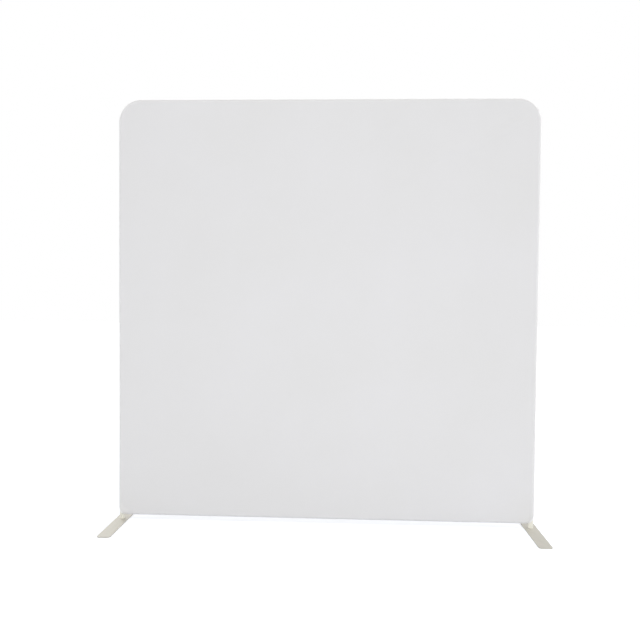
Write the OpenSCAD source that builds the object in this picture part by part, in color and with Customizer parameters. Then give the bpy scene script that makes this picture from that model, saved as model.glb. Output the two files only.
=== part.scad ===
// Tension fabric backdrop frame: plug-together tubes in a zipped stretch cover, on two flat feet.
// Millimetres, Z up. The origin is on the floor under the middle of the panel. The front is -Y.

/* [Cover] */
// Finished width of the stretched cover
cover_w = 2440; // [1800:10:3000]
// Height of the cover's top edge above the floor
cover_top = 2475; // [1800:5:2700]
// Height of the cover's bottom edge above the floor
cover_bottom = 30; // [26:1:34]
// Thickness of the knitted cloth
cloth_t = 0.6; // [0.4:0.1:0.8]
// Gap between the cloth and the tubes inside it
cloth_gap = 0.3; // [0.2:0.1:0.6]
// How much of each lower corner is cut away for the foot post
mouth_cut = 32; // [29:1:36]
// Width of the hem around that cut
hem_w = 8; // [5:1:12]

/* [Tubes] */
// Outer diameter of the frame tubes
tube_d = 32; // [30:1:36]
// Wall of the frame tubes
tube_wall = 2; // [1.5:0.1:2.5]
// Radius of the top corners, along the axis of the tube
bend_r = 113; // [90:1:160]
// Length of a corner tube along the top, from the axis of the upright
corner_run = 300; // [260:5:400]
// Length of a corner tube down the side, from the axis of the top tube
corner_drop = 300; // [260:5:400]

/* [Sleeves] */
// Radial gap of a sleeve or foot post in its tube
fit_gap = 0.1; // [0.05:0.01:0.15]
// Wall of the sleeves and of the foot posts
sleeve_wall = 2; // [1.5:0.1:2.5]
// Depth to which a sleeve goes into each of its two tubes
sleeve_in = 70; // [60:1:85]
// Chamfer that leads the ends of sleeves and foot posts into the tubes
lead_in = 1; // [0.5:0.1:1.4]

/* [Snap buttons] */
// Diameter of a snap button
button_d = 8; // [6:0.5:9]
// Distance of a button from the end of the tube that it holds
button_at = 40; // [38:1:48]
// How far a button stands proud of its tube
button_proud = 2.5; // [1.5:0.5:4]
// Radial gap of a button in its holes
button_gap = 0.08; // [0.05:0.01:0.1]
// Width of the spring strip that carries a button
spring_w = 8; // [6:0.5:9]
// Thickness of the spring strip
spring_t = 0.8; // [0.6:0.1:1]
// Slope of the sprung leg at rest, in degrees
spring_slope = 20; // [19:1:24]
// Radius of the bend at the closed end, along the middle of the strip
spring_bend = 2.5; // [2:0.1:3]
// Gap between the spring and the bore that it lies in
spring_gap = 0.3; // [0.2:0.1:0.5]
// Length of the flat seat behind a button
seat_l = 5; // [4:0.5:6]
// Length over which the sloped leg travels with its button
travel_l = 6; // [5:0.5:8]
// Radius of a button's domed top
dome_r = 5.6; // [5:0.1:7]

/* [Rivets] */
// Diameter of a rivet that holds a sleeve in one of its tubes
rivet_d = 4; // [3:0.5:5]
// Diameter of its head
rivet_head_d = 7; // [6:0.5:9]
// Height of its head
rivet_head_t = 1.2; // [0.8:0.1:2]
// Radial gap of a rivet in its holes
rivet_gap = 0.1; // [0.05:0.01:0.15]
// How far the set tail of a rivet stands out from its shank
rivet_tail = 0.6; // [0.4:0.1:1]
// Height of that tail
rivet_tail_h = 3; // [2:0.5:3]
// Gap between the tail and the bore that it is set against
rivet_tail_gap = 0.05; // [0.02:0.01:0.08]
// How far a rivet reaches into that bore
rivet_reach = 4; // [4:0.5:6]
// Diameter of the hole that its mandrel leaves in the head
mandrel_d = 1.8; // [1.2:0.1:2.2]
// Depth of that hole
mandrel_depth = 0.8; // [0.4:0.1:1]
// Distance of the first rivet from the end of its tube
rivet_at = 20; // [15:1:25]
// Distance between the two rivets of a sleeve
rivet_pitch = 30; // [20:1:34]

/* [Foot plates] */
// Length of a foot plate, from front to back
foot_l = 645; // [450:5:800]
// Width of a foot plate
foot_w = 75; // [60:1:100]
// Thickness of a foot plate
foot_t = 5; // [5:0.5:8]
// Radius of its corners
foot_corner = 18; // [5:1:30]
// Width of the break along its upper edges
foot_edge = 0.8; // [0.3:0.1:1.5]

/* [Foot posts] */
// Height of the collar that an upright stands on
collar_z = 85; // [80:1:100]
// Thickness of the collar
collar_t = 4; // [3:0.5:8]
// Depth to which a foot post goes up into its upright
post_in = 110; // [80:5:150]
// Distance from the axis of a post to the end of the bottom tube beside it
bar_setback = 30; // [28:1:34]
// Height of the threaded plug in the foot of a post
plug_h = 15; // [12:1:25]
// Gap between a post and the plate that turns under it
swivel_gap = 0.1; // [0.05:0.05:0.3]
// Diameter of the countersunk screw that a plate turns on
screw_d = 8; // [6:1:8]
// Diameter of its head
screw_head_d = 16; // [13:1:16]
// Height of the straight rim of its head
screw_rim = 0.4; // [0.2:0.1:0.5]
// How far the head lies inside the plate
screw_sink = 0.3; // [0.2:0.1:0.5]
// Width across the flats of its hexagon socket
key_w = 5; // [4:1:5]
// Depth of the socket
key_depth = 2.6; // [2:0.1:3]
// Radial gap of the screw in the plate and the plug
screw_gap = 0.08; // [0.05:0.01:0.1]

/* [Zip] */
// Distance from each side of the cover to the end of the zip
zip_margin = 80; // [70:5:400]
// Height of the zip's middle line above the axis of the bottom tube
zip_rise = 28; // [26:1:60]
// Width of the cover's window along each side of that line
zip_window = 5; // [4.8:0.1:7]
// Width of each tape
tape_w = 14; // [10:1:18]
// Thickness of a tape
tape_t = 0.6; // [0.4:0.1:0.8]
// How far the tapes run past each end of the window
tape_tail = 12; // [5:1:15]
// Space between the two rows, in which the slider's wedge runs
row_gap = 1.4; // [1.2:0.1:1.8]
// Width of each row of the coil
row_w = 2.6; // [2:0.1:2.8]
// Height of a row above its tape
row_h = 1.6; // [1.2:0.1:2]
// Length of an end stop
stop_l = 4; // [3:0.5:8]
// Length of the slider
slider_l = 12; // [10:0.5:16]
// Half of the slider's width
slider_half = 4.6; // [4.3:0.1:4.7]
// Thickness of the slider's two plates
slider_t = 1.2; // [0.8:0.1:1.5]
// Length of the wedge between them
wedge_l = 4; // [3:0.5:5]
// Thickness of the two ears that hold the pin
ear_t = 1.2; // [0.8:0.1:1.3]
// Length of an ear along the zip
ear_l = 3; // [2.5:0.1:4]
// Distance from the slider's edge to an ear
ear_setback = 1.2; // [0.8:0.1:1.4]
// Running gap between the slider and what it runs along
slider_gap = 0.3; // [0.2:0.05:0.35]
// Diameter of the pin that the pull swings on
pin_d = 1.6; // [1.2:0.1:2]
// Radial gap of the pull on its pin
pin_gap = 0.07; // [0.03:0.01:0.1]
// Distance from the pin's surface to the outside of the pull's knuckle
knuckle_t = 0.7; // [0.5:0.1:1]
// Length of the pull, from its pin
pull_l = 28; // [18:1:40]
// Width of the pull
pull_w = 7; // [5:0.5:10]
// Thickness of the pull
pull_t = 1.2; // [0.8:0.1:1.5]
// Diameter of the hole in the pull
pull_hole_d = 3; // [2:0.5:4]

/* [Hidden] */

$fn = 96;
bend_fn = 192;
eps = 0.01;
over = 1;

// Radii across a joint, from the outside in
tube_r = tube_d / 2;
tube_bore_r = tube_r - tube_wall;
sleeve_r = tube_bore_r - fit_gap;
sleeve_bore_r = sleeve_r - sleeve_wall;
// Inner and outer face of the cloth, measured from the axis of the tube that it goes round
cloth_in = tube_r + cloth_gap;
cloth_out = cloth_in + cloth_t;

// A length that is clear of every tube, for cuts
clear = 4 * tube_d;

// Axes of the frame
post_x = cover_w / 2 - cloth_out;
top_z = cover_top - cloth_out;
bar_z = cover_bottom + cloth_out;
bend_x = post_x - bend_r;
bend_z = top_z - bend_r;
corner_x = post_x - corner_run;
corner_z = top_z - corner_drop;
middle_z = (collar_z + corner_z) / 2;
bar_end_x = post_x - bar_setback;
post_foot_z = foot_t + swivel_gap;

// Joints of the right half and the middle: place of the tube's end, direction of the tube that
// slides off, and roll about it. The button points into the frame.
FOOT = [post_x, collar_z, 90, 0];
BOTTOM = [bar_end_x, bar_z, 180, 180];
UPRIGHT = [post_x, middle_z, 90, 0];
CORNER = [post_x, corner_z, 90, 0];
TOP = [corner_x, top_z, 180, 0];
TOP_MIDDLE = [0, top_z, 180, 0];
BOTTOM_MIDDLE = [0, bar_z, 0, 0];

// Spring strip: height of its legs in the bore, and where the legs bend
leg_face = sqrt(pow(sleeve_bore_r - spring_gap, 2) - pow(spring_w / 2, 2));
leg_mid = leg_face - spring_t / 2;
seat_end = button_d / 2 + seat_l;
bend_mid = leg_mid - spring_bend;
leg_rise = leg_mid + bend_mid - spring_bend * cos(spring_slope);
bend_u = seat_end - spring_bend * sin(spring_slope) + leg_rise / tan(spring_slope);
// The sprung end is cut from the rest of the strip here, so that it can travel
spring_cut = seat_end + travel_l;

// Rivets: radius of the set tail, and the height of its top above the tube's axis
tail_r = rivet_d / 2 + rivet_tail;
tail_top = sqrt(pow(sleeve_bore_r, 2) - pow(tail_r, 2)) - rivet_tail_gap;

// Zip: heights of its layers behind the panel
zip_z = bar_z + zip_rise;
tape_y = cloth_in - tape_t;
row_y = cloth_in;
row_top_y = row_y + row_h;
slider_y = row_top_y + slider_gap;
slider_top_y = slider_y + slider_t;
knuckle_r = pin_d / 2 + knuckle_t;
pin_y = slider_top_y + slider_gap + knuckle_r;
knuckle_half = slider_half - ear_setback - ear_t - slider_gap;
zip_l = cover_w - 2 * zip_margin;
row_l = zip_l - 2 * stop_l;
slider_x = row_l / 2 - slider_l / 2 - slider_gap;

// Puts a piece of a joint in its place
module place(j) translate([j[0], 0, j[1]]) rotate([0, -j[2], 0]) rotate([j[3], 0, 0]) children();

// A round bar along X
module bar(r, from, to) translate([from, 0, 0]) rotate([0, 90, 0]) cylinder(r = r, h = to - from);

// The chamfered end of such a bar, which narrows towards the end
module bar_end(r, from, way) translate([from, 0, 0]) rotate([0, 90 * way, 0])
    cylinder(r1 = r, r2 = r - lead_in, h = lead_in);

// A straight tube that starts at a joint
module tube(j, l) place(j) difference() {
    bar(tube_r, 0, l);
    bar(tube_bore_r, -over, l + over);
}

module button_hole(j) place(j)
    translate([button_at, 0, 0]) cylinder(r = button_d / 2 + button_gap, h = tube_r + over);

module rivet_holes(j) place(j) for (i = [0, 1])
    translate([-rivet_at - i * rivet_pitch, 0, 0])
        cylinder(r = rivet_d / 2 + rivet_gap, h = tube_r + over);

// Left-hand copy of a right-hand piece
module left() mirror([1, 0, 0]) children();

// Tubes

module upright_lower() color("silver") difference() {
    tube(FOOT, middle_z - collar_z);
    button_hole(FOOT);
    rivet_holes(UPRIGHT);
}

module upright_upper() color("silver") difference() {
    tube(UPRIGHT, corner_z - middle_z);
    button_hole(UPRIGHT);
    rivet_holes(CORNER);
}

// The path of a corner tube, as a solid round bar of radius r that runs past both ends by more
module corner_path(r, more) {
    translate([post_x, 0, corner_z - more]) cylinder(r = r, h = bend_z - corner_z + more);
    translate([bend_x, 0, bend_z]) rotate([90, 0, 0])
        rotate_extrude(angle = 90, $fn = bend_fn) translate([bend_r, 0]) circle(r = r);
    translate([0, 0, top_z]) bar(r, corner_x - more, bend_x);
}

module corner_tube() color("silver") difference() {
    corner_path(tube_r, 0);
    corner_path(tube_bore_r, over);
    button_hole(CORNER);
    rivet_holes(TOP);
}

module top_tube(right) color("silver") difference() {
    tube(TOP, corner_x);
    button_hole(TOP);
    if (right) rivet_holes(TOP_MIDDLE);
    else left() button_hole(TOP_MIDDLE);
}

module bottom_tube(right) color("silver") difference() {
    tube(BOTTOM, bar_end_x);
    button_hole(BOTTOM);
    if (right) button_hole(BOTTOM_MIDDLE);
    else left() rivet_holes(BOTTOM_MIDDLE);
}

// Sleeves, their rivets, and the snap buttons

module sleeve(j) color("darkgray") difference() {
    place(j) difference() {
        union() {
            bar(sleeve_r, lead_in - sleeve_in, sleeve_in - lead_in);
            for (way = [-1, 1]) bar_end(sleeve_r, way * (sleeve_in - lead_in), way);
        }
        bar(sleeve_bore_r, -sleeve_in - over, sleeve_in + over);
    }
    button_hole(j);
    rivet_holes(j);
}

module rivet() {
    cylinder(r = rivet_d / 2, h = tube_r + 2 * rivet_gap);
    translate([0, 0, tail_top - rivet_tail_h]) cylinder(r = tail_r, h = rivet_tail_h);
    translate([0, 0, tube_r + rivet_gap])
        cylinder(r1 = rivet_head_d / 2, r2 = rivet_d / 2, h = rivet_head_t);
}

module rivet_pair(j) place(j) for (i = [0, 1])
    translate([-rivet_at - i * rivet_pitch, 0, 0]) difference() {
        rivet();
        // the mandrel's hole, and the bore's middle is left free
        translate([0, 0, tube_r + rivet_gap + rivet_head_t - mandrel_depth])
            cylinder(d = mandrel_d, h = mandrel_depth + over);
        translate([0, 0, -over]) cylinder(r = rivet_d, h = sleeve_bore_r - rivet_reach + over);
    }

module sleeve_rivets() color("gainsboro") {
    for (j = [UPRIGHT, CORNER, TOP]) {
        rivet_pair(j);
        left() rivet_pair(j);
    }
    rivet_pair(TOP_MIDDLE);
    rivet_pair(BOTTOM_MIDDLE);
}

// A slice of the spring strip: a flat shape of length and height, as wide as the strip
module strip() rotate([90, 0, 0]) linear_extrude(spring_w, center = true) children();

// The sloped leg, from the button's seat down to the bend
module sloped_leg() translate([-seat_end, leg_mid]) rotate(180 + spring_slope)
    translate([0, -spring_t / 2]) square([leg_rise / sin(spring_slope) + eps, spring_t]);

// Button, its seat and the sprung end of the strip, which travel together
module button(j) color("lightgray") place(j) translate([button_at, 0, 0]) {
    strip() {
        translate([-seat_end, leg_face - spring_t]) square([seat_end + spring_w / 2, spring_t]);
        intersection() {
            sloped_leg();
            translate([-spring_cut, -tube_r]) square([spring_cut, tube_d]);
        }
    }
    intersection() {
        translate([0, 0, leg_face - eps]) cylinder(d = button_d, h = tube_r);
        translate([0, 0, tube_r + button_proud - dome_r]) sphere(r = dome_r);
    }
    translate([0, 0, leg_face - spring_t / 2])
        cylinder(d = button_d, h = tube_r + button_proud - dome_r - leg_face + spring_t / 2);
}

// The rest of the strip: the foot of the sloped leg, the bend and the leg on the far wall
module spring(j) place(j) translate([button_at, 0, 0]) strip() {
    intersection() {
        sloped_leg();
        translate([-bend_u - tube_d, -tube_r])
            square([bend_u + tube_d - spring_cut - spring_gap, tube_d]);
    }
    translate([-bend_u, -bend_mid]) intersection() {
        difference() {
            circle(r = spring_bend + spring_t / 2);
            circle(r = spring_bend - spring_t / 2);
        }
        union() {
            translate([-tube_r, -tube_r]) square([tube_r, tube_r]);
            rotate(spring_slope) translate([-tube_r, 0]) square([tube_r, tube_r]);
        }
    }
    translate([-bend_u - eps, -leg_face]) square([bend_u + button_d, spring_t]);
}

module snap_springs() color("slategray") {
    for (j = [FOOT, BOTTOM, UPRIGHT, CORNER, TOP]) {
        spring(j);
        left() spring(j);
    }
    spring(TOP_MIDDLE);
    spring(BOTTOM_MIDDLE);
}

// Feet

// Foot post: a tube on the plate with a collar for the upright and a stub for the bottom tube
module foot_post() color("lightgray") difference() {
    union() {
        translate([post_x, 0, post_foot_z])
            cylinder(r = sleeve_r, h = collar_z + post_in - lead_in - post_foot_z);
        translate([post_x, 0, collar_z + post_in - lead_in])
            cylinder(r1 = sleeve_r, r2 = sleeve_r - lead_in, h = lead_in);
        translate([post_x, 0, collar_z - collar_t]) cylinder(r = tube_r, h = collar_t);
        difference() {
            translate([0, 0, bar_z]) {
                bar(sleeve_r, bar_end_x - sleeve_in + lead_in, post_x);
                bar_end(sleeve_r, bar_end_x - sleeve_in + lead_in, -1);
            }
            translate([0, 0, bar_z]) bar(sleeve_bore_r, bar_end_x - sleeve_in - over, post_x);
        }
    }
    translate([post_x, 0, 0]) cylinder(r = sleeve_bore_r, h = collar_z + post_in + over);
    button_hole(FOOT);
    button_hole(BOTTOM);
}

// Threaded plug in the foot of the post, which the screw goes into
module post_plug() color("dimgray") translate([post_x, 0, post_foot_z]) difference() {
    cylinder(r = sleeve_bore_r - screw_gap, h = plug_h);
    translate([0, 0, -over]) cylinder(r = screw_d / 2 + screw_gap, h = plug_h + 2 * over);
}

// Countersunk screw or, with a gap, the hole that it lies in
module countersunk(gap) {
    sink_h = (screw_head_d - screw_d) / 2;
    translate([0, 0, screw_sink + screw_rim]) {
        cylinder(r1 = screw_head_d / 2 + gap, r2 = screw_d / 2 + gap, h = sink_h);
        cylinder(r = screw_d / 2 + gap, h = foot_t + plug_h - screw_sink - screw_rim);
    }
    translate([0, 0, gap > 0 ? -over : screw_sink])
        cylinder(r = screw_head_d / 2 + gap, h = screw_rim + (gap > 0 ? over + screw_sink : 0));
}

module foot_screw() translate([post_x, 0, 0]) difference() {
    countersunk(0);
    translate([0, 0, screw_sink - over]) cylinder(r = key_w / 2 / cos(30), h = key_depth + over, $fn = 6);
}

module foot_screws() color("dimgray") {
    foot_screw();
    left() foot_screw();
}

// A plate bar whose two long upper edges are broken
module broken_bar(l, w) rotate([90, 0, 0]) linear_extrude(l, center = true) polygon([
    [-w / 2, 0], [w / 2, 0], [w / 2, foot_t - foot_edge], [w / 2 - foot_edge, foot_t],
    [foot_edge - w / 2, foot_t], [-w / 2, foot_t - foot_edge]
]);

module foot_plate() color("silver") translate([post_x, 0, 0]) difference() {
    union() {
        broken_bar(foot_l - 2 * foot_corner, foot_w);
        rotate([0, 0, 90]) broken_bar(foot_w - 2 * foot_corner, foot_l);
        for (x = [-1, 1], y = [-1, 1])
            translate([x * (foot_w / 2 - foot_corner), y * (foot_l / 2 - foot_corner), 0]) {
                cylinder(r = foot_corner, h = foot_t - foot_edge);
                translate([0, 0, foot_t - foot_edge])
                    cylinder(r1 = foot_corner, r2 = foot_corner - foot_edge, h = foot_edge);
            }
    }
    countersunk(screw_gap);
}

// Cover

// Half of a ring, on the side of +X, from radius a to radius b
module half_ring(a, b) intersection() {
    difference() {
        circle(r = b);
        circle(r = a);
    }
    translate([0, -b - over]) square([b + over, 2 * b + 2 * over]);
}

// The bag between two distances a and b from the axes of the frame, closed all round
module bag(a, b) {
    // the sides and the two sheets between them, from the bottom tube to the bends
    translate([0, 0, bar_z]) linear_extrude(bend_z - bar_z) {
        for (s = [0, 1]) mirror([s, 0]) {
            translate([post_x, 0]) half_ring(a, b);
            mirror([0, s]) translate([-post_x, a]) square([2 * post_x, b - a]);
        }
    }
    // the same round the top tube, between the bends
    translate([-bend_x, 0, bend_z]) rotate([90, 0, 90]) linear_extrude(2 * bend_x) {
        translate([0, bend_r]) rotate(90) half_ring(a, b);
        for (s = [0, 1]) mirror([s, 0]) translate([a, 0]) square([b - a, bend_r]);
    }
    // the top corners
    for (s = [0, 1]) mirror([s, 0, 0]) translate([bend_x, 0, bend_z]) rotate([90, 0, 0])
        rotate_extrude(angle = 90, $fn = bend_fn) {
            translate([bend_r, 0]) half_ring(a, b);
            for (t = [0, 1]) mirror([0, t]) translate([0, a]) square([bend_r, b - a]);
        }
    // round the bottom tube
    translate([-post_x, 0, bar_z]) rotate([90, 0, 90]) linear_extrude(2 * post_x)
        rotate(-90) half_ring(a, b);
    // the bottom corners
    for (s = [0, 1]) mirror([s, 0, 0]) translate([post_x, 0, bar_z]) intersection() {
        difference() {
            sphere(r = b);
            sphere(r = a);
        }
        translate([0, -b - over, -b - over]) cube([b + over, 2 * (b + over), b + over]);
    }
}

// All that lies outside a slanted plane across a lower corner, moved into the cover by inset
module beyond_mouth(inset) translate([cover_w / 2, 0, cover_bottom + mouth_cut])
    rotate([0, 45, 0]) translate([-inset, -tube_d, -clear])
        cube([inset + clear, 2 * tube_d, 2 * clear]);

module zip_opening() translate([-zip_l / 2, 0, zip_z - zip_window])
    cube([zip_l, tube_d, 2 * zip_window]);

// The space that holds the back panel: behind the seam, above the zip's line
module behind_seam() translate([-cover_w, 0, zip_z]) cube([2 * cover_w, tube_d, cover_top]);

module cover_blank() difference() {
    bag(cloth_in, cloth_out);
    beyond_mouth(hem_w);
    left() beyond_mouth(hem_w);
    zip_opening();
}

module cover_front() color("whitesmoke") difference() {
    cover_blank();
    behind_seam();
}

module cover_back() color("white") intersection() {
    cover_blank();
    behind_seam();
}

// The hem is the cloth turned in round the mouth, so it is twice as thick
module mouth_hem() color("ghostwhite") intersection() {
    difference() {
        bag(cloth_in - cloth_t, cloth_out);
        beyond_mouth(0);
    }
    beyond_mouth(hem_w);
    translate([post_x - clear, -tube_d, 0]) cube([2 * clear, 2 * tube_d, zip_z]);
}

// Zip

// A strip along the zip, whose near edge lies off from the middle line
module zip_strip(l, off, w, y, t) translate([-l / 2, y, zip_z + off]) cube([l, t, w]);

module below() translate([0, 0, zip_z]) mirror([0, 0, 1]) translate([0, 0, -zip_z]) children();

module zip_tape() color("ivory")
    zip_strip(zip_l + 2 * tape_tail, row_gap / 2, tape_w - row_gap / 2, tape_y, tape_t);

module zip_row() color("linen") zip_strip(row_l, row_gap / 2, row_w, row_y, row_h);

module zip_stops() color("silver") for (x = [-1, 1]) translate([x * (row_l + stop_l) / 2, 0, 0]) {
    zip_strip(stop_l, row_gap / 2, row_w, row_y, row_h);
    below() zip_strip(stop_l, row_gap / 2, row_w, row_y, row_h);
}

// Slider: two plates joined by a wedge between the rows, with flanges outside them and two ears
module zip_slider() color("silver") translate([slider_x, 0, zip_z]) {
    flange_in = row_gap / 2 + row_w + slider_gap;
    wedge_half = row_gap / 2 - slider_gap;
    wedge_y = tape_y - slider_gap;
    translate([-slider_l / 2, slider_y, -slider_half]) cube([slider_l, slider_t, 2 * slider_half]);
    translate([-slider_l / 2, wedge_y - slider_t, -slider_half])
        cube([slider_l, slider_t, 2 * slider_half]);
    translate([0, wedge_y, -wedge_half]) cube([wedge_l, slider_y - wedge_y, 2 * wedge_half]);
    for (s = [0, 1]) mirror([0, 0, s]) {
        translate([-slider_l / 2, cloth_in + slider_gap, flange_in])
            cube([slider_l, slider_y - cloth_in - slider_gap, slider_half - flange_in]);
        translate([0, 0, knuckle_half + slider_gap]) {
            translate([-ear_l / 2, slider_top_y, 0]) cube([ear_l, pin_y - slider_top_y, ear_t]);
            translate([0, pin_y, 0]) cylinder(d = ear_l, h = ear_t);
        }
    }
    translate([0, pin_y, -knuckle_half - slider_gap])
        cylinder(d = pin_d, h = 2 * (knuckle_half + slider_gap));
}

// Pull: a knuckle round the pin, a neck between the ears and a flat tab with a hole
module zip_pull() color("silver") translate([slider_x, pin_y, zip_z]) difference() {
    union() {
        translate([0, 0, -knuckle_half]) cylinder(r = knuckle_r, h = 2 * knuckle_half);
        translate([-2 * ear_l, -pull_t / 2, -knuckle_half]) cube([2 * ear_l, pull_t, 2 * knuckle_half]);
        rotate([90, 0, 0]) linear_extrude(pull_t, center = true) {
            translate([pull_w / 2 - pull_l, -pull_w / 2]) square([pull_l - pull_w / 2 - ear_l, pull_w]);
            translate([pull_w / 2 - pull_l, 0]) circle(d = pull_w);
        }
    }
    translate([0, 0, -pull_w]) cylinder(r = pin_d / 2 + pin_gap, h = 2 * pull_w);
    translate([pull_w / 2 - pull_l, 0, 0]) rotate([90, 0, 0])
        cylinder(d = pull_hole_d, h = pull_w, center = true);
}

left() upright_lower();  // upright_lower_left
upright_lower();  // upright_lower_right
left() upright_upper();  // upright_upper_left
upright_upper();  // upright_upper_right
left() corner_tube();  // corner_tube_left
corner_tube();  // corner_tube_right
left() top_tube(false);  // top_tube_left
top_tube(true);  // top_tube_right
left() bottom_tube(false);  // bottom_tube_left
bottom_tube(true);  // bottom_tube_right
left() sleeve(UPRIGHT);  // sleeve_upright_left
sleeve(UPRIGHT);  // sleeve_upright_right
left() sleeve(CORNER);  // sleeve_corner_left
sleeve(CORNER);  // sleeve_corner_right
left() sleeve(TOP);  // sleeve_top_left
sleeve(TOP);  // sleeve_top_right
sleeve(TOP_MIDDLE);  // sleeve_top_middle
sleeve(BOTTOM_MIDDLE);  // sleeve_bottom_middle
sleeve_rivets();
snap_springs();
left() button(FOOT);  // button_foot_left
button(FOOT);  // button_foot_right
left() button(BOTTOM);  // button_bottom_left
button(BOTTOM);  // button_bottom_right
left() button(UPRIGHT);  // button_upright_left
button(UPRIGHT);  // button_upright_right
left() button(CORNER);  // button_corner_left
button(CORNER);  // button_corner_right
left() button(TOP);  // button_top_left
button(TOP);  // button_top_right
button(TOP_MIDDLE);  // button_top_middle
button(BOTTOM_MIDDLE);  // button_bottom_middle
left() foot_post();  // foot_post_left
foot_post();  // foot_post_right
left() post_plug();  // post_plug_left
post_plug();  // post_plug_right
foot_screws();
left() foot_plate();  // foot_plate_left
foot_plate();  // foot_plate_right
cover_front();
cover_back();
left() mouth_hem();  // mouth_hem_left
mouth_hem();  // mouth_hem_right
zip_tape();  // zip_tape_upper
below() zip_tape();  // zip_tape_lower
zip_row();  // zip_row_upper
below() zip_row();  // zip_row_lower
zip_stops();
zip_slider();
zip_pull();
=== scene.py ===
# %% [markdown]
# # A stretch-cover backdrop frame
#
# A backdrop frame is a square of plug-together tubes. A knitted cover is pulled over it like a
# pillowcase and zipped shut behind, and two flat foot plates hold it up. The tubes, joints, feet
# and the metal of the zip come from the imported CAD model, in metres, in the place where they
# belong. Blender makes what CAD leaves plain: the cloth with its seam, hems, stitches and creases,
# the coil of the zip, and the finish of every surface.

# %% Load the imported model
import math

import bmesh
import bpy
from mathutils import Matrix, Vector


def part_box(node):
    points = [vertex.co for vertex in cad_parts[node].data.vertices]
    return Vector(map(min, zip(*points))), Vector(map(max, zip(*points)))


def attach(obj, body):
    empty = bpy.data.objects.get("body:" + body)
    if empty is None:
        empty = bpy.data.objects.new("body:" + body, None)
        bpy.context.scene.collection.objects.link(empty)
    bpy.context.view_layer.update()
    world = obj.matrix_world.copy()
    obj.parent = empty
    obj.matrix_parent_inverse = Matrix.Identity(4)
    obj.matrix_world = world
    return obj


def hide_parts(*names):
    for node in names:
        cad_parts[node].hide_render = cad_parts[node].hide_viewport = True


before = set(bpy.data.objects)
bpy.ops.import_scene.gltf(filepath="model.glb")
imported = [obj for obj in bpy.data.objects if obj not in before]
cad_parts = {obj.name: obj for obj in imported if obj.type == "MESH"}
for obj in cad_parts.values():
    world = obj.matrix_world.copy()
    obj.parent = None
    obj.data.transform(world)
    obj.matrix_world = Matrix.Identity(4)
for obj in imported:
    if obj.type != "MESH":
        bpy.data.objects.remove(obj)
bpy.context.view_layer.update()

MM = 0.001

# %% [markdown]
# ## Sizes
#
# The cloth lies round tubes whose axes the eye never sees, so the sizes are measured on the
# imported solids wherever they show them. Only what no box can tell is typed in: the radius of the
# top corners, the cut of the lower corners, and the widths of hem, window and gap.

# %% Measure the frame
cover_low, cover_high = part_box("cover_front")
tape_low, tape_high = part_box("zip_tape_upper")
lower_tape_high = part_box("zip_tape_lower")[1]
wrap_r = cover_high.y                       # outer face of the cloth, from the axis of its tube
post_x = cover_high.x - wrap_r              # axes of the frame
top_z = cover_high.z - wrap_r
bar_z = cover_low.z + wrap_r
zip_z = (tape_low.z + lower_tape_high.z) / 2
bend_r = 113 * MM                           # top corner, along the axis of the tube
bend_x, bend_z = post_x - bend_r, top_z - bend_r
mouth_cut = 32 * MM                         # how much of a lower corner the mouth takes away
mouth_at = cover_high.x - cover_low.z - mouth_cut   # x - z on the plane of the right mouth
hem_w = 8 * MM
cloth_t = 0.6 * MM
window_half = 5 * MM                        # the zip's window, above and below its line
window_end = 1140 * MM
print(f"posts at x = {post_x:.4f}, top tube z = {top_z:.4f}, zip z = {zip_z:.4f}")

# %% [markdown]
# ## The camera
#
# The photograph was taken from head height, a little right of the middle, with the camera turned
# a few degrees to the left and tipped slightly down. Its focal length in pixels, its place and
# its three angles were fitted to the corners of the cover and of the two feet. Blender wants the
# focal length in millimetres of a 36 mm sensor, so it is scaled by the picture's 640 pixels.

# %% Camera
PICTURE_PX = 640
FOCAL_PX = 678
SENSOR_MM = 36
CAMERA_AT = (0.144, -3.952, 1.326)
YAW, PITCH, ROLL = -2.56, 1.82, 0.53        # degrees


def aimed(yaw, pitch, roll):
    """Rotation of a camera that looks along +Y, then turns, tips and rolls by these degrees."""
    yaw, pitch, roll = map(math.radians, (yaw, pitch, roll))
    ahead = Vector((math.sin(yaw) * math.cos(pitch), math.cos(yaw) * math.cos(pitch), -math.sin(pitch)))
    right = Vector((math.cos(yaw), -math.sin(yaw), 0))
    up = right.cross(ahead)
    across = math.cos(roll) * right + math.sin(roll) * up
    upward = math.cos(roll) * up - math.sin(roll) * right
    return Matrix((across, upward, -ahead)).transposed()


camera_data = bpy.data.cameras.new("camera")
camera_data.sensor_width = SENSOR_MM
camera_data.lens = FOCAL_PX / PICTURE_PX * SENSOR_MM
camera = bpy.data.objects.new("camera", camera_data)
camera.matrix_world = Matrix.Translation(CAMERA_AT) @ aimed(YAW, PITCH, ROLL).to_4x4()
bpy.context.scene.collection.objects.link(camera)
bpy.context.scene.camera = camera
bpy.context.scene.view_settings.view_transform = "Standard"
print(f"lens {camera_data.lens:.2f} mm, {camera.location.z:.2f} m above the floor")

# %% [markdown]
# ## Helpers for materials
#
# A colour is written as the screen shows it, as an sRGB hex value, and one function turns it into
# the linear numbers that a shader takes. A second one adds a node with its settings and links. Two
# more open and close a material, so that each one below reads as a short list of what it is made of.

# %% Colour and node helpers
def linear(hex_colour):
    """The linear RGBA of an sRGB colour such as '#E6E6E8'."""
    shares = [int(hex_colour[i:i + 2], 16) / 255 for i in (1, 3, 5)]
    return [s / 12.92 if s <= 0.04045 else ((s + 0.055) / 1.055) ** 2.4 for s in shares] + [1.0]


def add(tree, kind, inputs={}, **settings):
    """Adds a node. An input takes a number or colour, or another node's output, which is linked."""
    made = tree.nodes.new("ShaderNode" + kind)
    for name, value in settings.items():
        setattr(made, name, value)
    for name, value in inputs.items():
        if isinstance(value, bpy.types.NodeSocket):
            tree.links.new(value, made.inputs[name])
        else:
            made.inputs[name].default_value = value
    return made


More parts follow.
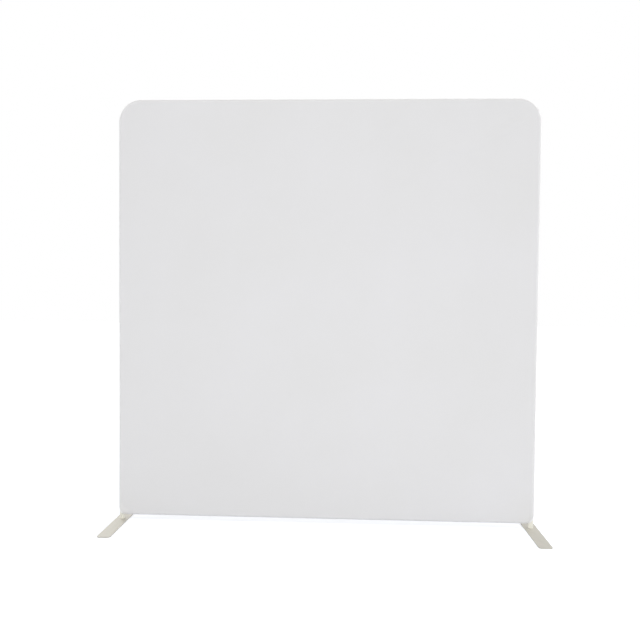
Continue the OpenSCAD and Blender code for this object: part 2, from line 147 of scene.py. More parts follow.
def opened(name):
    """A new material with an empty node tree, the tree, and where a point is on the object."""
    made = bpy.data.materials.new(name)
    made.use_nodes = True
    made.node_tree.nodes.clear()
    return made, made.node_tree, add(made.node_tree, "TexCoord").outputs["Object"]


def closed(tree, **inputs):
    """Ends a material with one Principled shader, whose inputs are named with _ for a space."""
    shader = add(tree, "BsdfPrincipled", {name.replace("_", " "): value for name, value in inputs.items()})
    add(tree, "OutputMaterial", {"Surface": shader.outputs[0]})


def mottled(tree, place, low, high, size):
    """A colour that wanders between two hex values in patches of a size, and the patches, 0 to 1."""
    clouds = add(tree, "TexNoise", {"Vector": place, "Scale": 1 / size, "Detail": 3.0})
    patches = add(tree, "MapRange", {"Value": clouds.outputs["Fac"], "From Min": 0.3, "From Max": 0.7})
    tone = add(tree, "Mix", {0: patches.outputs[0], 6: linear(low), 7: linear(high)}, data_type="RGBA")
    return tone.outputs[2], patches.outputs[0]


print("a sheet of white paper, #E6E6E8, is", [round(v, 3) for v in linear("#E6E6E8")[:3]], "in linear light")

# %% [markdown]
# ## Cloth of the cover
#
# The cover is a white polyester knit with some elastane, the cloth of stretch table covers. It was
# dyed plain, so it has no pattern, but a knit is rows of small loops: fine ribs run up it, and
# finer courses across. The loops make it matt, with a faint bloom where it turns away from the
# eye, which is the shader's sheen. The real ribs are 0.6 mm apart, which no picture of a panel
# this size can show, so they are drawn four times as coarse. In soft light their bumps alone
# would hardly show, so shade is painted into the colour between the loops, and light onto them.
# Broad noise gives the very slight clouding that stretched cloth has. A hem is two layers thick,
# so less of the dark inside shows through it, and it is paler; it is also painted paler as light,
# as if the band caught the side light. The ribs are laid out over x + y and z + y, so that they
# carry on where the cloth turns round a tube.

# %% Stretch knit
RIB = 2.4 * MM
COURSE = 1.8 * MM
CLOUDING = 600 * MM
# painted shade and light: the knit's colour is darker between its loops and lighter on them
PAINTED_HOLLOW_SHADE, PAINTED_CROWN_LIGHT = 0.965, 1.07                # tone of the knit between its loops and on them
WAVE_UNIT = 2 * math.pi / 20               # Blender's Wave repeats at this length over its scale


def stretch_knit(name, low, high):
    """The knit, whose colour wanders between two hex values, with painted shade between its loops and
    painted light on them.
    """
    made, tree, place = opened(name)
    tone = mottled(tree, place, low, high, CLOUDING)[0]
    parts = add(tree, "SeparateXYZ", {"Vector": place})
    along = add(tree, "Math", {0: parts.outputs["X"], 1: parts.outputs["Y"]}, operation="ADD")
    up = add(tree, "Math", {0: parts.outputs["Z"], 1: parts.outputs["Y"]}, operation="ADD")
    laid_out = add(tree, "CombineXYZ", {"X": along.outputs[0], "Z": up.outputs[0]})
    ribs = add(tree, "TexWave", {"Vector": laid_out.outputs[0], "Scale": WAVE_UNIT / RIB},
               bands_direction="X")
    courses = add(tree, "TexWave", {"Vector": laid_out.outputs[0], "Scale": WAVE_UNIT / COURSE,
                                    "Distortion": 0.4}, bands_direction="Z")
    loops = add(tree, "Math", {0: ribs.outputs["Fac"], 1: courses.outputs["Fac"]}, operation="MULTIPLY")
    bump = add(tree, "Bump", {"Height": loops.outputs[0], "Distance": 0.1 * MM})
    # painted shade between the loops and painted light on them, multiplied into the colour
    shade = add(tree, "MapRange", {"Value": loops.outputs[0], "To Min": PAINTED_HOLLOW_SHADE, "To Max": PAINTED_CROWN_LIGHT})
    shaded = add(tree, "Mix", {0: 1.0, 6: tone, 7: shade.outputs[0]}, data_type="RGBA",
                 blend_type="MULTIPLY")
    closed(tree, Base_Color=shaded.outputs[2], Roughness=0.88, Sheen_Weight=0.06, Sheen_Roughness=0.45,
           Normal=bump.outputs[0])
    return made


panel_knit = stretch_knit("white polyester stretch knit", "#E8E7E6", "#EAE9E9")
# the hem is paler for its two layers, and partly as painted light: the band is brightened as if it caught
# the side light
hem_knit_partly_painted_light = stretch_knit("stretch knit, two layers thick, partly painted light", "#F6F6F6", "#F8F8F8")
print("knit drawn with ribs", RIB / MM, "mm apart")

# %% [markdown]
# ## Sewing thread and zip tape
#
# Stitches are spun polyester thread, a little brighter and smoother than the knit. The tape of a
# zip is a flat weave: warp threads run along it, and the weft shows as fine slanting lines. Its
# weave is drawn at 1.2 mm, twice the real size.

# %% Thread and tape
WEAVE = 1.2 * MM

thread_white, tree, place = opened("spun polyester thread")
tone = mottled(tree, place, "#E2E2E0", "#F0F0EE", 4 * MM)[0]
twist = add(tree, "TexNoise", {"Vector": place, "Scale": 1 / (0.8 * MM), "Detail": 2.0})
bump = add(tree, "Bump", {"Height": twist.outputs["Fac"], "Distance": 0.05 * MM})
closed(tree, Base_Color=tone, Roughness=0.6, Sheen_Weight=0.1, Normal=bump.outputs[0])

tape_weave, tree, place = opened("woven polyester zip tape")
tone = mottled(tree, place, "#DDDDDE", "#E4E4E4", 15 * MM)[0]
warp = add(tree, "TexWave", {"Vector": place, "Scale": WAVE_UNIT / WEAVE}, bands_direction="Z")
weft = add(tree, "TexWave", {"Vector": place, "Scale": WAVE_UNIT / WEAVE}, bands_direction="DIAGONAL")
threads = add(tree, "Math", {0: warp.outputs["Fac"], 1: weft.outputs["Fac"]}, operation="MULTIPLY")
bump = add(tree, "Bump", {"Height": threads.outputs[0], "Distance": 0.08 * MM})
closed(tree, Base_Color=tone, Roughness=0.82, Sheen_Weight=0.05, Normal=bump.outputs[0])
print("thread, and tape with a weave of", WEAVE / MM, "mm")

# %% [markdown]
# ## Metals
#
# The foot plates and posts are mild steel with a powder coat of warm silver. Powder melts into a
# skin with a fine orange peel, and its metal flakes lie at all angles, so it shines softly: part
# of it mirrors like metal, the rest scatters like paint. The plates are quite rough, so that a
# turned one doesn't mirror a lamp. The posts wear the same coat, but it is painted paler and less
# like metal there: painted light, for how much brighter an upright post looks than a flat plate.
# The tubes are extruded aluminium: fine lines run along them, from the die. Each kind below is one
# call with its colours, its roughness and its grain, which is noise stretched along the way the
# metal was drawn.

# %% Metals
def metal(name, low, high, roughness, metallic=1.0, grain=(0.6, 0.6, 0.6), depth=0.01, patch=60):
    """Sizes in millimetres: grain along x, y and z, depth of its bumps, and size of a patch."""
    made, tree, place = opened(name)
    tone, patches = mottled(tree, place, low, high, patch * MM)
    rough = add(tree, "MapRange", {"Value": patches, "To Min": roughness[0], "To Max": roughness[1]})
    drawn = add(tree, "Mapping", {"Vector": place, "Scale": [1 / (g * MM) for g in grain]})
    marks = add(tree, "TexNoise", {"Vector": drawn.outputs[0], "Scale": 1.0, "Detail": 2.0})
    bump = add(tree, "Bump", {"Height": marks.outputs["Fac"], "Distance": depth * MM})
    closed(tree, Base_Color=tone, Metallic=metallic, Roughness=rough.outputs[0], Normal=bump.outputs[0])
    return made


plate_coat = metal("warm silver powder coat, flat plate", "#BEBBB2", "#C5C2B9", (0.56, 0.64),
                   metallic=0.55, grain=(2.0, 2.0, 2.0), depth=0.03, patch=90)
# painted light: the same coat as the plates, painted paler and less metallic on the upright posts
post_coat_painted_paler = metal("warm silver powder coat, round post, painted paler", "#EFEDE1", "#F5F3E9", (0.4, 0.5),
                  metallic=0.3, grain=(1.5, 1.5, 1.5), depth=0.02, patch=40)
upright_metal = metal("extruded aluminium, drawn along z", "#C2C3C4", "#CBCBCB", (0.28, 0.4),
                      grain=(0.5, 0.5, 80))
rail_metal = metal("extruded aluminium, drawn along x", "#C2C3C4", "#CBCBCB", (0.28, 0.4),
                   grain=(80, 0.5, 0.5))
bent_metal = metal("bent aluminium tube", "#BFC0C1", "#C9C9CA", (0.32, 0.45), grain=(0.8, 0.8, 0.8))
sleeve_metal = metal("mill-finish aluminium", "#B2B3B4", "#BFC0C0", (0.35, 0.5), grain=(0.7, 0.7, 6))
rivet_metal = metal("aluminium rivet", "#CACACA", "#D5D5D5", (0.3, 0.4), grain=(0.4, 0.4, 0.4), patch=8)
spring_metal = metal("zinc-plated spring steel", "#A6A8AC", "#B4B6B9", (0.28, 0.4),
                     grain=(3, 0.4, 3), patch=9)
screw_metal = metal("blackened screw steel", "#5A5A5C", "#6A6A6C", (0.38, 0.5),
                    grain=(0.5, 0.5, 0.5), patch=9)
zinc_metal = metal("die-cast zinc, nickel plated", "#C9C9C6", "#D6D6D3", (0.2, 0.32),
                   grain=(1, 1, 1), patch=7)
print(len(bpy.data.materials), "materials so far")

# %% [markdown]
# ## Nylon
#
# The teeth of the zip are one rod of nylon, drawn through a die and set by heat. Nylon lets a
# little light in under its skin, and its surface is smooth with a soft shine.

# %% Nylon coil
nylon, tree, place = opened("nylon coil of the zip")
tone = mottled(tree, place, "#E4E4E2", "#ECECEA", 10 * MM)[0]
marks = add(tree, "TexNoise", {"Vector": place, "Scale": 1 / (1 * MM)})
bump = add(tree, "Bump", {"Height": marks.outputs["Fac"], "Distance": 0.02 * MM})
closed(tree, Base_Color=tone, Roughness=0.36, Subsurface_Weight=0.1, Normal=bump.outputs[0])
print("coil nylon is ready")

# %% [markdown]
# ## Finishes of the CAD pieces
#
# A CAD piece whose shape is right stays, and only its material changes. The names of the nodes
# say what each one is, so a list of beginnings is enough. The first that fits is taken, and a node
# that none fits would stop the script here.

# %% Dress the CAD nodes
FINISHES = [("upright", upright_metal), ("corner_tube", bent_metal), ("top_tube", rail_metal),
            ("bottom_tube", rail_metal), ("sleeve_rivets", rivet_metal), ("sleeve", sleeve_metal),
            ("snap_springs", spring_metal), ("button", spring_metal), ("foot_post", post_coat_painted_paler),
            ("post_plug", screw_metal), ("foot_screws", screw_metal), ("foot_plate", plate_coat),
            ("zip_row", nylon), ("zip_tape", tape_weave), ("zip", zinc_metal),
            ("cover", panel_knit), ("mouth_hem", hem_knit_partly_painted_light)]

for node_name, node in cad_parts.items():
    finish = next(finish for start, finish in FINISHES if node_name.startswith(start))
    node.data.materials.clear()
    node.data.materials.append(finish)
print(len(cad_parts), "CAD nodes dressed")

# %% [markdown]
# ## The bag
#
# The cover is one bag: a front panel and a back panel, with a rim round the tubes between them. A
# box with rounded edges would be quick, but the rim must follow the bends of the tube, and the
# hems, the zip's window and the seam must lie on lines of the mesh. So the bag is made as a grid.
# Columns and rows lie 15 mm apart, and closer in the lower corners. In the top corners the grid's
# squares are bent into a quarter of a disc by the rule that maps a square to a circle. Then the
# rim is swept round the grid's edge: each point of the edge is turned through half a circle, from
# the front to the back.

# %% Grid of a panel
def spread(start, stop, step):
    """Even places from start to stop, no further apart than step."""
    count = math.ceil((stop - start) / step - 1e-6)
    return [start + (stop - start) * i / count for i in range(count + 1)]


def smooth(t):
    """0 up to 0, 1 from 1 on, and an even S between them."""
    t = min(max(t, 0.0), 1.0)
    return t * t * (3 - 2 * t)


COARSE, MIDDLE, FINE = 15 * MM, 11 * MM, 4 * MM
fine_x, fine_z = post_x - 9 * FINE, bar_z + 12 * FINE
half = spread(0, bend_x, COARSE) + spread(bend_x, fine_x, MIDDLE)[1:]
half += spread(fine_x, post_x, FINE)[1:]
columns = [-x for x in reversed(half[1:])] + half
rows = spread(bar_z, fine_z, FINE) + spread(fine_z, bend_z, COARSE)[1:]
rows += spread(bend_z, top_z, MIDDLE)[1:]


def in_the_round(x, z):
    """Bends a grid point into the quarter disc of its top corner, if it is in that corner."""
    p, q = (abs(x) - bend_x) / bend_r, (z - bend_z) / bend_r
    if p <= 0 or q <= 0:
        return x, z
    x = math.copysign(bend_x + bend_r * p * math.sqrt(1 - q * q / 2), x)
    return x, bend_z + bend_r * q * math.sqrt(1 - p * p / 2)


print(len(columns), "columns and", len(rows), "rows")

# %% [markdown]
# ## Where the cloth lies
#
# Everywhere but in three places the cloth lies at one distance from the axis of its tube. Near the
# mouths the tubes have ended and the slimmer post goes on, so the cloth closes in on the post. Only
# the front hem of the left mouth stands off it, where the photograph has a darker line. Along the
# seam at the sides and the top, the two panels dip together in a fine groove between low swells,
# because the seam's allowance lies inside. And the front panel has soft creases, where the cloth
# is pulled towards the top corners.

# %% Creases
# start and end of each crease as x and z, its height, and half its width at the start
CREASES = [((1.190, 2.385), (0.10, 1.87), 4.0 * MM, 20 * MM),
           ((1.175, 2.405), (0.62, 2.33), 0.7 * MM, 20 * MM),
           ((-1.185, 2.385), (-0.55, 2.12), 0.6 * MM, 24 * MM),
           ((-1.00, 1.95), (1.30, 1.37), -3.4 * MM, 68 * MM)]
RUN_IN = 0.1                                # share of its length over which a crease begins
WIDENING = 0.7


def crease(x, z):
    """How far the front panel stands proud of flat at a point."""
    total = 0.0
    for (x0, z0), (x1, z1), height, width in CREASES:
        length = math.hypot(x1 - x0, z1 - z0)
        ux, uz = (x1 - x0) / length, (z1 - z0) / length
        along = ((x - x0) * ux + (z - z0) * uz) / length
        off = abs((z - z0) * ux - (x - x0) * uz)
        if -RUN_IN < along < 1:
            on = max(along, 0)
            reach = smooth((along + RUN_IN) / (2 * RUN_IN)) * (1 - on ** 2)
            total += height * reach * math.exp(-(off / (width * (1 + WIDENING * on))) ** 2)
    return total


print(f"crease at the top right stands {crease(1.1, 2.345) / MM:.2f} mm proud")

# %% Mouths and seam
post_wrap_r = 14.6 * MM                     # the cloth on the post, which is slimmer than a tube
CLOSING_Z, CLOSING_RISE = 80 * MM, 22 * MM  # the cloth closes in on the post below this height
CLOSING_X, CLOSING_RUN = 29 * MM, 14 * MM   # and from this far inside the post's axis
HEM_GAPE, GAPE_RUN = 6 * MM, 65 * MM        # how far the left mouth's front hem stands off
SEAM_SWELL, SEAM_DIP = 0.35 * MM, 0.9 * MM
SWELL_ENDS, SWELL_RUN, DIP_ENDS = 28, 14, 4     # degrees round the tube, from the seam
CREASE_INSET = 45 * MM                      # a crease fades out over this width at an edge


def reach_of(x, z, turn):
    """How far the cloth lies from the axis of the tube, or of the post, inside it."""
    low = smooth((CLOSING_Z - z) / CLOSING_RISE)
    closing = low * smooth((abs(x) - post_x + CLOSING_X) / CLOSING_RUN)
    if x > 0:
        return wrap_r + (post_wrap_r - wrap_r) * closing
    at_front = max(0.0, -math.sin(turn)) ** 3
    standing_off = smooth(1 - (mouth_at + x + z) / GAPE_RUN) * at_front
    return wrap_r + (post_wrap_r - wrap_r) * closing * (1 - at_front) + HEM_GAPE * standing_off


def laid(x, z, nx, nz, turn):
    """A point of the bag: a point of the outline or a panel, its outward direction, and the turn
    round the tube, from -90 degrees on the front through 0 on the rim to 90 on the back."""
    r = reach_of(x, z, turn)
    on_panel = not (nx or nz)
    if z > zip_z and not on_panel:
        degrees = abs(math.degrees(turn))
        r += SEAM_SWELL * smooth((SWELL_ENDS - degrees) / SWELL_RUN)
        r -= SEAM_DIP * (1 - smooth(degrees / DIP_ENDS))
    out = r * math.cos(turn)
    y = r * math.sin(turn)
    if turn < 0 and on_panel:
        inset = min(post_x - abs(x), top_z - z)
        y -= crease(x, z) * smooth(inset / CREASE_INSET)
    return x + nx * out, y, z + nz * out


print(f"front hem of the left mouth lies {reach_of(-post_x, bar_z, -math.pi / 2) / MM:.1f} mm out")

# %% Make the bag
TURNS = [math.radians(d) for d in (-90, -78, -66, -54, -42, -32, -24, -16, -9, -4, -1.5, 0)]
TURNS += [-t for t in reversed(TURNS[:-1])]
FAN = [math.radians(d) for d in range(-75, 0, 15)]      # round a lower corner
last_c, last_r = len(columns) - 1, len(rows) - 1


def outline():
    """The edge of the grid once round, as column, row and outward direction."""
    def outward(c, r):
        x, z = in_the_round(columns[c], rows[r])
        away = Vector((x - max(-bend_x, min(bend_x, x)), z - min(z, bend_z))).normalized()
        return c, r, away.x, away.y
    round_it = [(c, 0, 0.0, -1.0) for c in range(last_c + 1)]
    round_it += [(last_c, 0, math.cos(a), math.sin(a)) for a in FAN]
    round_it += [outward(last_c, r) for r in range(last_r)]
    round_it += [outward(c, last_r) for c in range(last_c, 0, -1)]
    round_it += [outward(0, r) for r in range(last_r, -1, -1)]
    return round_it + [(0, 0, -math.cos(a), math.sin(a)) for a in reversed(FAN)]


def make_bag():
    """Both panels as grids, and the rim swept between their edges."""
    bag = bmesh.new()
    sides = {}
    for turn in (TURNS[0], TURNS[-1]):
        sides[turn] = [[bag.verts.new(laid(*in_the_round(x, z), 0, 0, turn)) for z in rows]
                       for x in columns]
        for c in range(last_c):
            for r in range(last_r):
                near, far = sides[turn][c], sides[turn][c + 1]
                bag.faces.new((near[r], far[r], far[r + 1], near[r + 1]))
    rim = []
    for c, r, nx, nz in outline():
        x, z = in_the_round(columns[c], rows[r])
        between = [bag.verts.new(laid(x, z, nx, nz, turn)) for turn in TURNS[1:-1]]
        rim.append([sides[TURNS[0]][c][r], *between, sides[TURNS[-1]][c][r]])
    for here, there in zip(rim, rim[1:] + rim[:1]):
        for k in range(len(TURNS) - 1):
            corners = dict.fromkeys((here[k], there[k], there[k + 1], here[k + 1]))
            bag.faces.new(list(corners))
    bmesh.ops.recalc_face_normals(bag, faces=bag.faces)
    return bag


bag = make_bag()
print(len(bag.faces), "faces, closed:", all(e.is_manifold for e in bag.edges))

# %% [markdown]
# ## Cutting the bag
#
# Now the bag is cut as a sewer would mark it. Planes cut the mesh along the zip's line, along the
# edges of its window, and across the lower corners, once at the mouth and once at the inner edge
# of the hem. After that every face lies wholly in one part, and the place of its middle says in
# which: the front panel, which turns up behind as far as the zip, the back panel, one of the two
# hems, or what is cut away.

# %% Cut it
def cut(mesh, point, normal, behind_only=False):
    """Cuts the faces of a mesh along a plane, and deletes nothing."""
    faces = [f for f in mesh.faces if not behind_only or f.calc_center_median().y > 0]
    geometry = set(faces) | {e for f in faces for e in f.edges} | {v for f in faces for v in f.verts}
    return bmesh.ops.bisect_plane(mesh, geom=list(geometry), plane_co=point, plane_no=normal, dist=1e-7)


for height in (zip_z - window_half, zip_z, zip_z + window_half):
    cut(bag, (0, 0, height), (0, 0, 1), behind_only=True)
for side in (-1, 1):
    cut(bag, (side * window_end, 0, 0), (1, 0, 0), behind_only=True)
    for inset in (0, hem_w):
        cut(bag, (side * (mouth_at - inset * math.sqrt(2)), 0, 0), (side, 0, -1))


def part_at(middle):
    """Which part of the cover a face belongs to, by the place of its middle."""
    beyond = (abs(middle.x) - middle.z - mouth_at) / math.sqrt(2)
    if beyond > 0:
        return "gone"
    if beyond > -hem_w:
        return "right" if middle.x > 0 else "left"
    if middle.y > 0 and abs(middle.x) < window_end and abs(middle.z - zip_z) < window_half:
        return "gone"
    return "back" if middle.y > 0 and middle.z > zip_z else "front"


counts = {}
for face in bag.faces:
    part = part_at(face.calc_center_median())
    counts[part] = counts.get(part, 0) + 1
print(counts)

# %% [markdown]
# ## From cuts to pieces
#
# Each part becomes an object of its own, which stands for the CAD solids of the same name. The
# mesh is the outer face of the cloth, and a Solidify modifier gives it its thickness inwards. The
# hem is cloth turned in and stitched down, so it is twice as thick, and a Bevel rounds its fold.

# %% Pieces of the cover
def add_piece(name, mesh, finish, body="frame", stands_for=(), smooth_shade=True):
    """Turns a bmesh into a piece of the model that rides on a body."""
    data = bpy.data.meshes.new(name)
    mesh.to_mesh(data)
    mesh.free()
    data.materials.append(finish)
    data.polygons.foreach_set("use_smooth", [smooth_shade] * len(data.polygons))
    made = bpy.data.objects.new(name, data)
    bpy.context.scene.collection.objects.link(made)
    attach(made, body)
    if stands_for:
        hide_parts(*stands_for)
    return made


def cover_part(name, part, finish, thickness, outward, stands_for):
    """One part of the bag as a piece of cloth, which reaches this far outward of the bag."""
    mesh = bag.copy()
    others = [f for f in mesh.faces if part_at(f.calc_center_median()) != part]
    bmesh.ops.delete(mesh, geom=others, context="FACES")
    piece = add_piece(name, mesh, finish, stands_for=stands_for)
    shell = piece.modifiers.new("thickness", "SOLIDIFY")
    shell.thickness = thickness
    shell.offset = 2 * outward / thickness - 1
    shell.use_even_offset = True
    return piece


HEM_PROUD = 0.3 * MM
front = cover_part("cloth_front", "front", panel_knit, cloth_t, 0, ["cover_front"])
back = cover_part("cloth_back", "back", panel_knit, cloth_t, 0, ["cover_back"])
hems = [cover_part("hem_" + side, side, hem_knit_partly_painted_light, 2 * cloth_t, HEM_PROUD, ["mouth_hem_" + side])
        for side in ("left", "right")]
for hem in hems:
    fold = hem.modifiers.new("rounded fold", "BEVEL")
    fold.width, fold.segments, fold.limit_method = 0.45 * MM, 2, "ANGLE"
print([len(p.data.polygons) for p in (front, back, *hems)], "faces in front, back and hems")

# %% [markdown]
# ## Stitches
#
# A hem is sewn with a row of short stitches near its inner edge. Each stitch is a bit of thread
# that comes out of the cloth, lies on it and goes in again, so it is a small spindle. The row on
# a hem runs round a closed loop, which is found by cutting a copy of the bag with a plane and
# putting the cut's points in order round their middle. Along the zip the rows are straight, so
# there one stitch is repeated by an Array modifier.

# %% One stitch
THREAD_R = 0.35 * MM
THREAD_SIDES = 6


def spindle(mesh, start, stop, out):
    """A stitch from start to stop, lying on a face whose outward direction is out."""
    along = stop - start
    side = along.cross(out).normalized()
    tips = [mesh.verts.new(start), mesh.verts.new(stop)]
    rings = []
    for share in (0.2, 0.8):
        middle = start + along * share + out * THREAD_R * 0.6
        rings.append([mesh.verts.new(middle + THREAD_R * (math.cos(a) * side + math.sin(a) * out))
                      for a in [2 * math.pi * i / THREAD_SIDES for i in range(THREAD_SIDES)]])
    for i in range(THREAD_SIDES):
        j = (i + 1) % THREAD_SIDES
        mesh.faces.new((rings[0][i], rings[0][j], rings[1][j], rings[1][i]))
        mesh.faces.new((tips[0], rings[0][j], rings[0][i]))
        mesh.faces.new((tips[1], rings[1][i], rings[1][j]))


# %% Stitches round the hems
STITCH, STITCH_GAP = 3 * MM, 1.2 * MM
SEWN_IN = 1.6 * MM                          # the stitches' distance from the hem's inner edge


def hem_loop(side, inset):
    """The closed line on the bag that lies this far inside a mouth, with outward directions."""
    copy = bag.copy()
    plane = Vector((side * (mouth_at - inset * math.sqrt(2)), 0, 0)), Vector((side, 0, -1))
    found = [v.co.copy() for v in cut(copy, *plane)["geom_cut"] if isinstance(v, bmesh.types.BMVert)]
    copy.free()
    found = [p for p in found if p.x * side > bend_x]
    middle = sum(found, Vector()) / len(found)
    across = Vector((side, 0, 1)).normalized()
    found.sort(key=lambda p: math.atan2(p.y - middle.y, (p - middle).dot(across)))
    return found, middle


def walk(points, step):
    """Points at even steps along a closed line."""
    ring = points + points[:1]
    lengths = [(b - a).length for a, b in zip(ring, ring[1:])]
    count = round(sum(lengths) / step)
    places, at, passed = [], 0, 0.0
    for i in range(count):
        target = sum(lengths) * i / count
        while passed + lengths[at] < target:
            passed += lengths[at]
            at += 1
        places.append(ring[at].lerp(ring[at + 1], (target - passed) / max(lengths[at], 1e-9)))
    return places


for side, name in ((-1, "left"), (1, "right")):
    sewn = bmesh.new()
    loop, middle = hem_loop(side, hem_w - SEWN_IN)
    places = walk(loop, STITCH + STITCH_GAP)
    for here, there in zip(places, places[1:] + places[:1]):
        out = ((here + there) / 2 - middle).normalized()
        reach = (there - here).normalized() * STITCH
        start = here + out * HEM_PROUD
        spindle(sewn, start, start + reach, out)
    piece = add_piece("hem_stitches_" + name, sewn, thread_white)
    print(piece.name, len(places), "stitches")

# %% [markdown]
# ## The zip's tapes
#
# Behind the window in the cloth lie two woven tapes, sewn to the cloth's inner face. Each is a
# strip with a thicker edge, which carries the coil, and its free edge is a little wavy, because
# the stretch cloth gives and the tape does not.

# %% Tapes
TAPE_STEP = 8 * MM
TAPE_WAVE, TAPE_GAP = 0.12 * MM, 0.02 * MM
# across the tape from the coil to the free edge: share of the width, and step down in mm
TAPE_ACROSS = [(0, 0.0), (0.12, 0.0), (0.2, 0.12), (0.8, 0.12), (1, 0.2)]


def zip_tape(name, node_name):
    """The tape that takes the place of a CAD one, wavy along its free edge."""
    low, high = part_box(node_name)
    inner, outer = sorted((low.z, high.z), key=lambda z: abs(z - zip_z))
    strip = bmesh.new()
    lines = []
    for x in spread(low.x, high.x, TAPE_STEP):
        wave = TAPE_WAVE * (1 + math.sin(x / (9 * MM)) * math.sin(x / (31 * MM)))
        lines.append([strip.verts.new((x, high.y - TAPE_GAP - step * MM - wave * (share == 1),
                                       inner + (outer - inner) * share))
                      for share, step in TAPE_ACROSS])
    for here, there in zip(lines, lines[1:]):
        for k in range(len(TAPE_ACROSS) - 1):
            strip.faces.new((here[k], there[k], there[k + 1], here[k + 1]))
    bmesh.ops.recalc_face_normals(strip, faces=strip.faces)
    if sum(f.normal.y for f in strip.faces) < 0:
        bmesh.ops.reverse_faces(strip, faces=strip.faces)
    piece = add_piece(name, strip, tape_weave, stands_for=[node_name])
    shell = piece.modifiers.new("thickness", "SOLIDIFY")
    shell.thickness, shell.offset = 0.5 * MM, -1
    return piece


tapes = [zip_tape("tape_upper", "zip_tape_upper"), zip_tape("tape_lower", "zip_tape_lower")]
print("tapes", round(tape_high.x - tape_low.x, 3), "m long")

# %% [markdown]
# ## The coil of the zip
#
# The teeth of a nylon zip are one thin rod wound into a flattened coil on each tape. In CAD each
# row is a plain bar. Here one turn of the coil is drawn as a bent rod whose end meets the start of
# the next turn, and an Array modifier repeats it along the zip. The real turns are 1.5 mm apart:
# they are drawn 3 mm apart. The lower row lies half a turn further on than the upper one, so that
# the heads of the two reach past each other, as in a zip that is closed.

# %% Coil
TURN = 3 * MM
ROD_R = 0.4 * MM
# one turn, in mm: along the zip, away from its middle line, and above the tape
COIL_TURN = [(0.0, 2.85, 0.42), (0.15, 0.7, 0.42), (0.55, 0.1, 0.8), (0.95, 0.7, 1.18),
             (1.15, 2.6, 1.18), (2.0, 2.88, 0.8), (3.0, 2.85, 0.42)]


def rod(mesh, points, radius, sides=6):
    """A round rod along a line of points."""
    rings = []
    for i, point in enumerate(points):
        ahead = (points[min(i + 1, len(points) - 1)] - points[max(i - 1, 0)]).normalized()
        side = ahead.cross(Vector((0.9, 0.1, 0.2))).normalized()
        up = side.cross(ahead)
        rings.append([mesh.verts.new(point + radius * (math.cos(a) * side + math.sin(a) * up))
                      for a in [2 * math.pi * k / sides for k in range(sides)]])
    for near, far in zip(rings, rings[1:]):
        for k in range(sides):
            mesh.faces.new((near[k], near[(k + 1) % sides], far[(k + 1) % sides], far[k]))


def coil(name, node_name, side, shift):
    """One row of turns in the place of a CAD bar, above (1) or below (-1) the zip's line."""
    low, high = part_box(node_name)
    one = bmesh.new()
    points = [Vector((low.x + shift + x * MM, low.y + y * MM, zip_z + side * z * MM))
              for x, z, y in COIL_TURN]
    rod(one, points, ROD_R)
    bmesh.ops.recalc_face_normals(one, faces=one.faces)
    piece = add_piece(name, one, nylon, stands_for=[node_name])
    row = piece.modifiers.new("turns of the coil", "ARRAY")
    row.use_relative_offset, row.use_constant_offset = False, True
    row.constant_offset_displace = (TURN, 0, 0)
    row.count = int((high.x - low.x - shift) / TURN)
    row.use_merge_vertices, row.merge_threshold = True, 0.05 * MM
    return piece


coils = [coil("coil_upper", "zip_row_upper", 1, 0),
         coil("coil_lower", "zip_row_lower", -1, TURN / 2)]
print([c.modifiers[0].count for c in coils], "turns in the two rows")

# %% Stitches along the zip
ZIP_STITCH = 5 * MM

for side, name in ((1, "upper"), (-1, "lower")):
    sewn = bmesh.new()
    level = Vector((-window_end + STITCH_GAP, wrap_r, zip_z + side * (window_half + 2 * MM)))
    spindle(sewn, level, level + Vector((ZIP_STITCH - STITCH_GAP, 0, 0)), Vector((0, 1, 0)))
    piece = add_piece("zip_stitches_" + name, sewn, thread_white)
    row = piece.modifiers.new("stitches", "ARRAY")
    row.use_relative_offset, row.use_constant_offset = False, True
    row.constant_offset_displace = (ZIP_STITCH, 0, 0)
    row.count = int(2 * window_end / ZIP_STITCH)
    print(piece.name, row.count, "stitches")

# %% [markdown]
# ## What the cloth was cut to
#
# A stretch cover is cut smaller than its frame. Worn, the front panel measures 2.459 by 2.518 m,
# with what goes round the tubes and up to the zip, and the back panel 2.459 by 2.410 m. Such
# covers are cut about 4% smaller each way.

print("declared", front.name, back.name, [t.name for t in tapes])

# %% [markdown]
# ## Floor and background
#
# The photograph was cut out on white. The floor here is a white sheet that takes the object's
# shadow. For the camera alone it is lifted a little, so that it looks white in this soft light,
# and fades to plain white a few metres out, where no shadow falls. The world is plain white to
# the camera and in reflections, and a soft grey light for everything else.

# %% Floor and world
FLOOR_HALF = 30.0
FADE_FROM, FADE_TO = 1.6, 4.2               # metres from the middle of the object
FLOOR_LIFT = 0.3
SOFT_LIGHT = 0.47

floor_paint, tree, place = opened("white studio floor")
rays = add(tree, "LightPath")
distance = add(tree, "VectorMath", {0: place}, operation="LENGTH")
far_off = add(tree, "MapRange", {"Value": distance.outputs["Value"], "From Min": FADE_FROM,
                                   "From Max": FADE_TO},
              interpolation_type="SMOOTHSTEP")
to_camera = rays.outputs["Is Camera Ray"]
share = add(tree, "Math", {0: far_off.outputs[0], 1: to_camera}, operation="MULTIPLY")
paint = add(tree, "BsdfDiffuse", {"Color": linear("#EFF1F5"), "Roughness": 0.3})
white = add(tree, "Emission", {"Color": linear("#FFFFFF"), "Strength": 1.0})
faded = add(tree, "MixShader", {0: share.outputs[0], 1: paint.outputs[0], 2: white.outputs[0]})
lifted = add(tree, "Math", {0: to_camera, 1: FLOOR_LIFT}, operation="MULTIPLY")
lift = add(tree, "Emission", {"Color": linear("#FFFFFF"), "Strength": lifted.outputs[0]})
both = add(tree, "AddShader", {0: faded.outputs[0], 1: lift.outputs[0]})
add(tree, "OutputMaterial", {"Surface": both.outputs[0]})

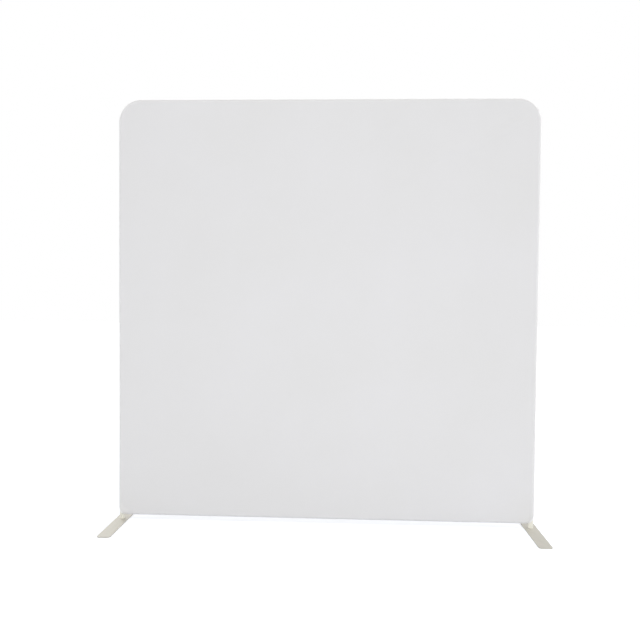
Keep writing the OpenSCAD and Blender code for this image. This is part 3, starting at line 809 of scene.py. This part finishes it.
sheet = bmesh.new()
bmesh.ops.create_grid(sheet, x_segments=2, y_segments=2, size=FLOOR_HALF)
floor_data = bpy.data.meshes.new("floor")
sheet.to_mesh(floor_data)
sheet.free()
floor_data.materials.append(floor_paint)
floor = bpy.data.objects.new("floor", floor_data)
floor.location.z = -0.2 * MM
bpy.context.scene.collection.objects.link(floor)

world = bpy.data.worlds.new("white studio")
bpy.context.scene.world = world
world.use_nodes = True
tree = world.node_tree
tree.nodes.clear()
rays = add(tree, "LightPath")
seen = add(tree, "Math", {0: rays.outputs["Is Camera Ray"], 1: rays.outputs["Is Glossy Ray"]},
           operation="MAXIMUM")
seen = add(tree, "Math", {0: seen.outputs[0], 1: rays.outputs["Is Transmission Ray"]},
           operation="MAXIMUM")
soft_light = add(tree, "Background", {"Color": linear("#FFFFFF"), "Strength": SOFT_LIGHT})
plain_white = add(tree, "Background", {"Color": linear("#FFFFFF"), "Strength": 1.0})
mixed = add(tree, "MixShader", {0: seen.outputs[0], 1: soft_light.outputs[0], 2: plain_white.outputs[0]})
add(tree, "OutputWorld", {"Surface": mixed.outputs[0]})
print("floor", 2 * FLOOR_HALF, "m wide, world at strength", SOFT_LIGHT)

# %% [markdown]
# ## Light
#
# In the photograph the panel is brightest in the middle and nearly even, its right rim is lighter
# than the panel, and its left rim hardly differs. So a soft lamp stands low in front, behind the
# camera, and one large soft lamp on each side, the right one stronger: they stand so far to the
# side that they reach the rims more than the panel. One high above the front lights the top rim
# and brings out the crease at the top right. Two more stand behind. They light the back, and the
# left foot plate mirrors a little more of them towards the camera than the right one does.

# %% Lamps
def lamp(name, place, aim, size, watts):
    """A round soft lamp of a size in metres, which the camera doesn't see."""
    data = bpy.data.lights.new(name, "AREA")
    data.shape, data.size, data.energy = "DISK", size, watts
    made = bpy.data.objects.new(name, data)
    made.location = place
    made.rotation_mode = "QUATERNION"
    made.rotation_quaternion = (Vector(aim) - Vector(place)).to_track_quat("-Z", "Y")
    made.visible_camera = False
    bpy.context.scene.collection.objects.link(made)
    print(f"{name}: {watts} W, {(Vector(aim) - Vector(place)).length:.1f} m from the panel")


PANEL_MIDDLE = (0, 0, 1.2)
lamp("front", (0.1, -4.4, 0.7), (0, 0, 1.0), 1.6, 34)
lamp("right", (8.8, -1.8, 3.0), PANEL_MIDDLE, 3.0, 215)
lamp("left", (-8.5, -2.2, 3.0), PANEL_MIDDLE, 3.0, 140)
lamp("above", (0.0, -2.3, 7.4), PANEL_MIDDLE, 3.0, 98)
lamp("back left", (-6.2, 6.6, 5.0), PANEL_MIDDLE, 3.0, 215)
lamp("back right", (8.0, 4.0, 6.5), PANEL_MIDDLE, 3.0, 280)
